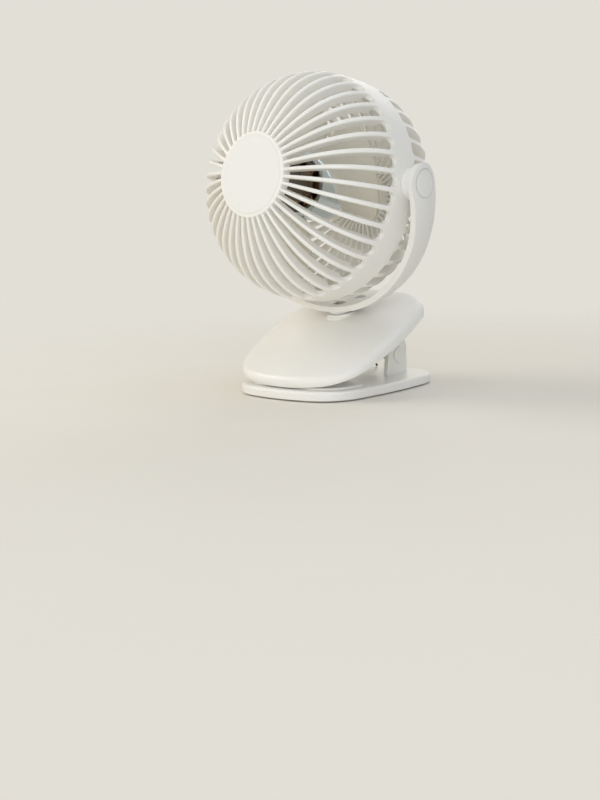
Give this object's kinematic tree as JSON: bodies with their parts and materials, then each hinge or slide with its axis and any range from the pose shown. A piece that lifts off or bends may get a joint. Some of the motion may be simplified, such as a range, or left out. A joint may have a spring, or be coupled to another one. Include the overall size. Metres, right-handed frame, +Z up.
{
  "type": "desk fan",
  "caption": "Small clip-and-stand desk fan: ribbed ball-shaped head in a U-shaped yoke on a pebble-shaped sprung clip body over a flat rounded base plate.",
  "frame": {"origin": "on the support plane, under the centre of the base plate", "axes": "+Z up from the support plane, the fan blows towards -Y, +X to the right as seen from the front"},
  "size_m": [0.1592, 0.1331, 0.1942],
  "materials": {
    "white_abs": "satin moulded",
    "cream_abs": "satin moulded",
    "grey_abs": "satin moulded",
    "pale_rubber": "matt soft pad",
    "steel": "bright turned",
    "spring_steel": "drawn wire",
    "core_steel": "stacked laminations",
    "copper": "enamelled winding wire",
    "nylon": "natural moulded",
    "bronze": "sintered",
    "ferrite": "pressed",
    "board_green": "solder mask",
    "cell_foil": "pouch foil",
    "black_abs": "moulded",
    "light_pipe": "clear moulded",
    "lead_rubber": "extruded sheath"
  },
  "bodies": {
    "lower_jaw": {"base_plate": "white_abs", "foot_pad": "pale_rubber", "lower_jaw_pad": "pale_rubber", "hinge_pin": "white_abs", "hinge_pin_clip": "white_abs", "clip_spring": "spring_steel"},
    "upper_jaw": {"body_shell": "white_abs", "body_cover": "white_abs", "cover_screws": "steel", "upper_jaw_pad": "pale_rubber", "battery": "cell_foil", "control_board": "board_green", "usb_socket": "steel", "push_switch": "black_abs", "status_light": "light_pipe", "swivel_washer": "nylon", "swivel_clip": "steel"},
    "button": {"power_button": "grey_abs"},
    "yoke_arm": {"yoke": "white_abs", "yoke_cover": "white_abs", "yoke_lead": "lead_rubber", "pivot_cap_right": "white_abs", "pivot_cap_left": "white_abs"},
    "head": {"front_grille": "white_abs", "front_cap": "white_abs", "rear_grille": "white_abs", "trunnion_right": "white_abs", "trunnion_left": "white_abs", "trunnion_clips": "steel", "motor_bracket": "nylon", "motor_screws": "steel", "stator_core": "core_steel", "stator_insulator": "nylon", "stator_coils": "copper", "motor_board": "board_green", "shaft_bearings": "bronze", "head_lead": "lead_rubber"},
    "rotor": {"fan_blades": "cream_abs", "rotor_ring": "steel", "magnet_ring": "ferrite", "motor_shaft": "steel", "shaft_clip": "steel"}
  },
  "joints": [
    {"name": "clip_open", "type": "hinge", "parent": "lower_jaw", "child": "upper_jaw", "pos_m": [0, 0.031, 0.0184], "axis": [-1, 0, 0], "range_deg": [0, 25], "stiffness_Nm_per_rad": 0.9, "springref_deg": -34.38, "deforming": ["clip_spring"]},
    {"name": "button_press", "type": "slide", "parent": "upper_jaw", "child": "button", "axis": [0, 0.4067, -0.9135], "range_m": [0, 0.0005], "stiffness_N_per_m": 2000, "springref_m": -0.0005},
    {"name": "yoke_swivel", "type": "hinge", "parent": "upper_jaw", "child": "yoke_arm", "pos_m": [0, 0.00648, 0.04737], "axis": [0, -0.23, 0.9732], "range_deg": [-180, 180]},
    {"name": "head_tilt", "type": "hinge", "parent": "yoke_arm", "child": "head", "pos_m": [0, -0.01169, 0.12422], "axis": [1, 0, 0], "range_deg": [-180, 180]},
    {"name": "fan_spin", "type": "hinge", "parent": "head", "child": "rotor", "pos_m": [0, -0.01169, 0.12422], "axis": [0, -0.99, 0.1409], "continuous": true}
  ]
}
